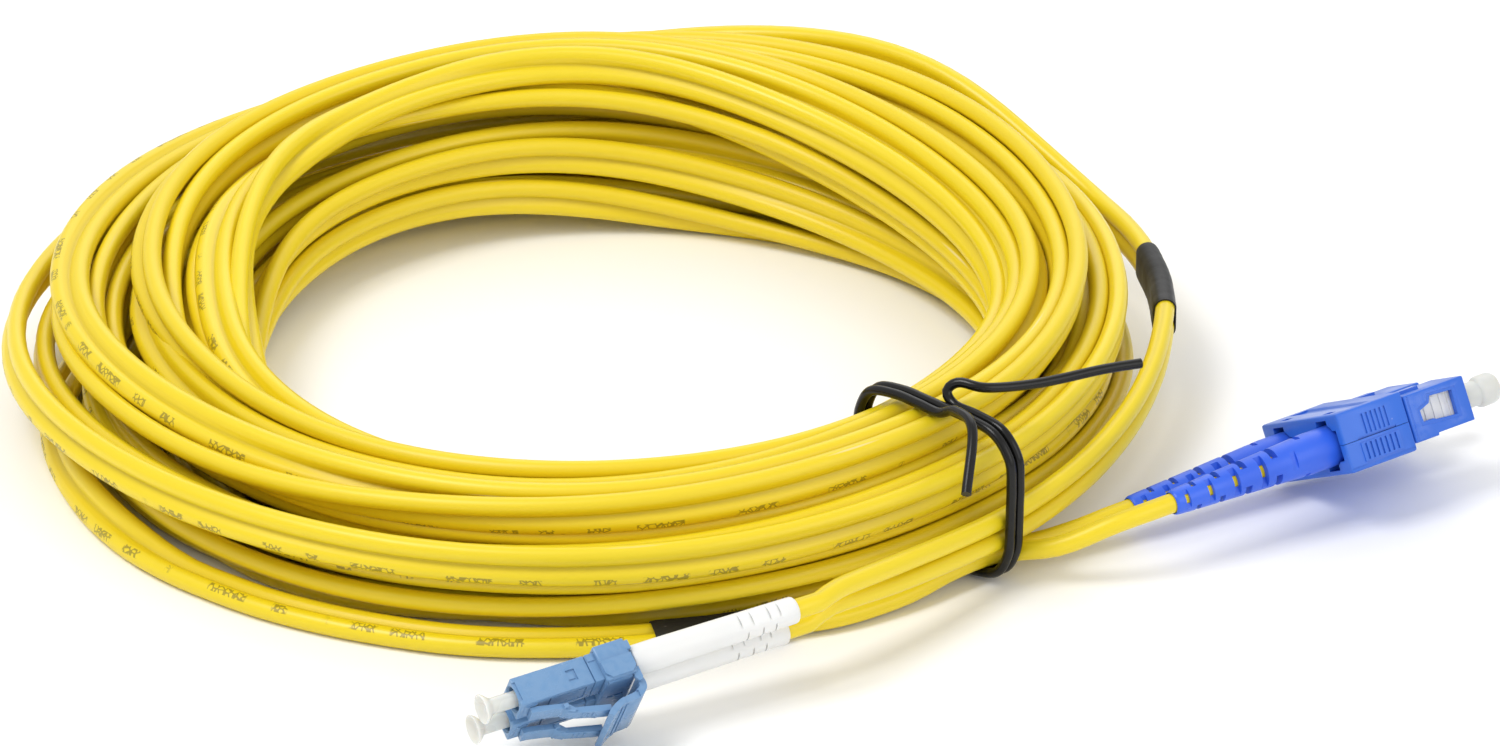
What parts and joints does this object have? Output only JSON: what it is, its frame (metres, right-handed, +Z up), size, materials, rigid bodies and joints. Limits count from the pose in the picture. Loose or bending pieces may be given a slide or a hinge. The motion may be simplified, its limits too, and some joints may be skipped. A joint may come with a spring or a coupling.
{
  "type": "fiber optic patch cord",
  "caption": "Coiled yellow duplex fibre patch cord with a duplex LC plug and a duplex SC plug on its ends, held by a black twist tie.",
  "frame": {"origin": "on the surface the coil lies on, under the centre of the whole object's box", "axes": "+Z up, the coil's axis; +X to the side of the SC connector; -Y towards the LC connector"},
  "size_m": [0.2292, 0.2024, 0.0319],
  "materials": {
    "jacket": "soft satin PVC",
    "buffer": "smooth",
    "sleeve": "matt shrink tube",
    "tie": "glossy coated wire",
    "lc_blue": "moulded satin",
    "sc_blue": "moulded satin",
    "boot_blue": "smooth soft plastic",
    "white": "smooth",
    "cap": "translucent",
    "ceramic": "polished ceramic",
    "metal": "plated"
  },
  "bodies": {
    "root": {"cord_coil": "jacket", "lc_a_boot": "white", "lc_a_buffered_fibre": "buffer", "lc_a_crimp_sleeve": "metal", "lc_a_housing": "lc_blue", "lc_a_leg": "jacket", "lc_a_rear_body": "lc_blue", "lc_a_spring": "metal", "lc_b_boot": "white", "lc_b_buffered_fibre": "buffer", "lc_b_crimp_sleeve": "metal", "lc_b_housing": "lc_blue", "lc_b_leg": "jacket", "lc_b_rear_body": "lc_blue", "lc_b_spring": "metal", "lc_clip": "lc_blue", "lc_duplex_tail": "jacket", "lc_split_sleeve": "sleeve", "sc_a_boot": "boot_blue", "sc_a_buffered_fibre": "buffer", "sc_a_crimp_sleeve": "metal", "sc_a_leg": "jacket", "sc_a_plug_frame": "white", "sc_a_spring": "metal", "sc_a_stop": "metal", "sc_b_boot": "boot_blue", "sc_b_buffered_fibre": "buffer", "sc_b_crimp_sleeve": "metal", "sc_b_leg": "jacket", "sc_b_plug_frame": "white", "sc_b_spring": "metal", "sc_b_stop": "metal", "sc_duplex_tail": "jacket", "sc_split_sleeve": "sleeve", "twist_tie": "tie"},
    "sc_grip": {"sc_a_housing": "sc_blue", "sc_b_housing": "sc_blue", "sc_clip_lower": "sc_blue", "sc_clip_upper": "sc_blue"},
    "lc_trigger_lever": {"lc_trigger": "lc_blue"},
    "lc_a_ferrule_unit": {"lc_a_ferrule": "ceramic", "lc_a_flange": "metal"},
    "lc_a_cap": {"lc_a_dust_cap": "cap"},
    "lc_b_ferrule_unit": {"lc_b_ferrule": "ceramic", "lc_b_flange": "metal"},
    "lc_b_cap": {"lc_b_dust_cap": "cap"},
    "sc_a_ferrule_unit": {"sc_a_ferrule": "ceramic", "sc_a_flange": "metal"},
    "sc_a_cap": {"sc_a_dust_cap": "cap"},
    "sc_b_ferrule_unit": {"sc_b_ferrule": "ceramic", "sc_b_flange": "metal"},
    "sc_b_cap": {"sc_b_dust_cap": "cap"},
    "lc_a_latch_arm": {"lc_a_latch": "lc_blue"},
    "lc_b_latch_arm": {"lc_b_latch": "lc_blue"}
  },
  "joints": [
    {"name": "lc_a_ferrule_slide", "type": "slide", "parent": "root", "child": "lc_a_ferrule_unit", "axis": [0.8781, 0.4748, 0.0593], "range_m": [0, 0.001], "stiffness_N_per_m": 600, "springref_m": -0.002, "deforming": ["lc_a_spring"]},
    {"name": "lc_a_cap_pull", "type": "slide", "parent": "lc_a_ferrule_unit", "child": "lc_a_cap", "axis": [-0.8781, -0.4748, -0.0593], "range_m": [0, 0.012]},
    {"name": "lc_b_ferrule_slide", "type": "slide", "parent": "root", "child": "lc_b_ferrule_unit", "axis": [0.8781, 0.4748, 0.0593], "range_m": [0, 0.001], "stiffness_N_per_m": 600, "springref_m": -0.002, "deforming": ["lc_b_spring"]},
    {"name": "lc_b_cap_pull", "type": "slide", "parent": "lc_b_ferrule_unit", "child": "lc_b_cap", "axis": [-0.8781, -0.4748, -0.0593], "range_m": [0, 0.012]},
    {"name": "sc_a_ferrule_slide", "type": "slide", "parent": "root", "child": "sc_a_ferrule_unit", "axis": [-0.8457, -0.5305, -0.0576], "range_m": [0, 0.0012], "stiffness_N_per_m": 800, "springref_m": -0.002, "deforming": ["sc_a_spring"]},
    {"name": "sc_a_cap_pull", "type": "slide", "parent": "sc_a_ferrule_unit", "child": "sc_a_cap", "axis": [0.8457, 0.5305, 0.0576], "range_m": [0, 0.016]},
    {"name": "sc_b_ferrule_slide", "type": "slide", "parent": "root", "child": "sc_b_ferrule_unit", "axis": [-0.8457, -0.5305, -0.0576], "range_m": [0, 0.0012], "stiffness_N_per_m": 800, "springref_m": -0.002, "deforming": ["sc_b_spring"]},
    {"name": "sc_b_cap_pull", "type": "slide", "parent": "sc_b_ferrule_unit", "child": "sc_b_cap", "axis": [0.8457, 0.5305, 0.0576], "range_m": [0, 0.016]},
    {"name": "lc_trigger_press", "type": "hinge", "parent": "root", "child": "lc_trigger_lever", "pos_m": [-0.01608, -0.08926, 0.00801], "axis": [-0.2257, 0.5202, -0.8237], "range_deg": [0, 14], "stiffness_Nm_per_rad": 0.02},
    {"name": "lc_a_latch_flex", "type": "hinge", "parent": "root", "child": "lc_a_latch_arm", "pos_m": [-0.0301, -0.09802, 0.01011], "axis": [0.2257, -0.5202, 0.8237], "range_deg": [0, 8.5]},
    {"name": "lc_b_latch_flex", "type": "hinge", "parent": "root", "child": "lc_b_latch_arm", "pos_m": [-0.03151, -0.09477, 0.00496], "axis": [0.2257, -0.5202, 0.8237], "range_deg": [0, 8.5]},
    {"name": "sc_grip_pull", "type": "slide", "parent": "root", "child": "sc_grip", "axis": [-0.8457, -0.5305, -0.0576], "range_m": [0, 0.0018]}
  ],
  "couplings": [
    {"joint": "lc_a_latch_flex", "follows": "lc_trigger_press", "ratio": 0.58},
    {"joint": "lc_b_latch_flex", "follows": "lc_trigger_press", "ratio": 0.58}
  ]
}
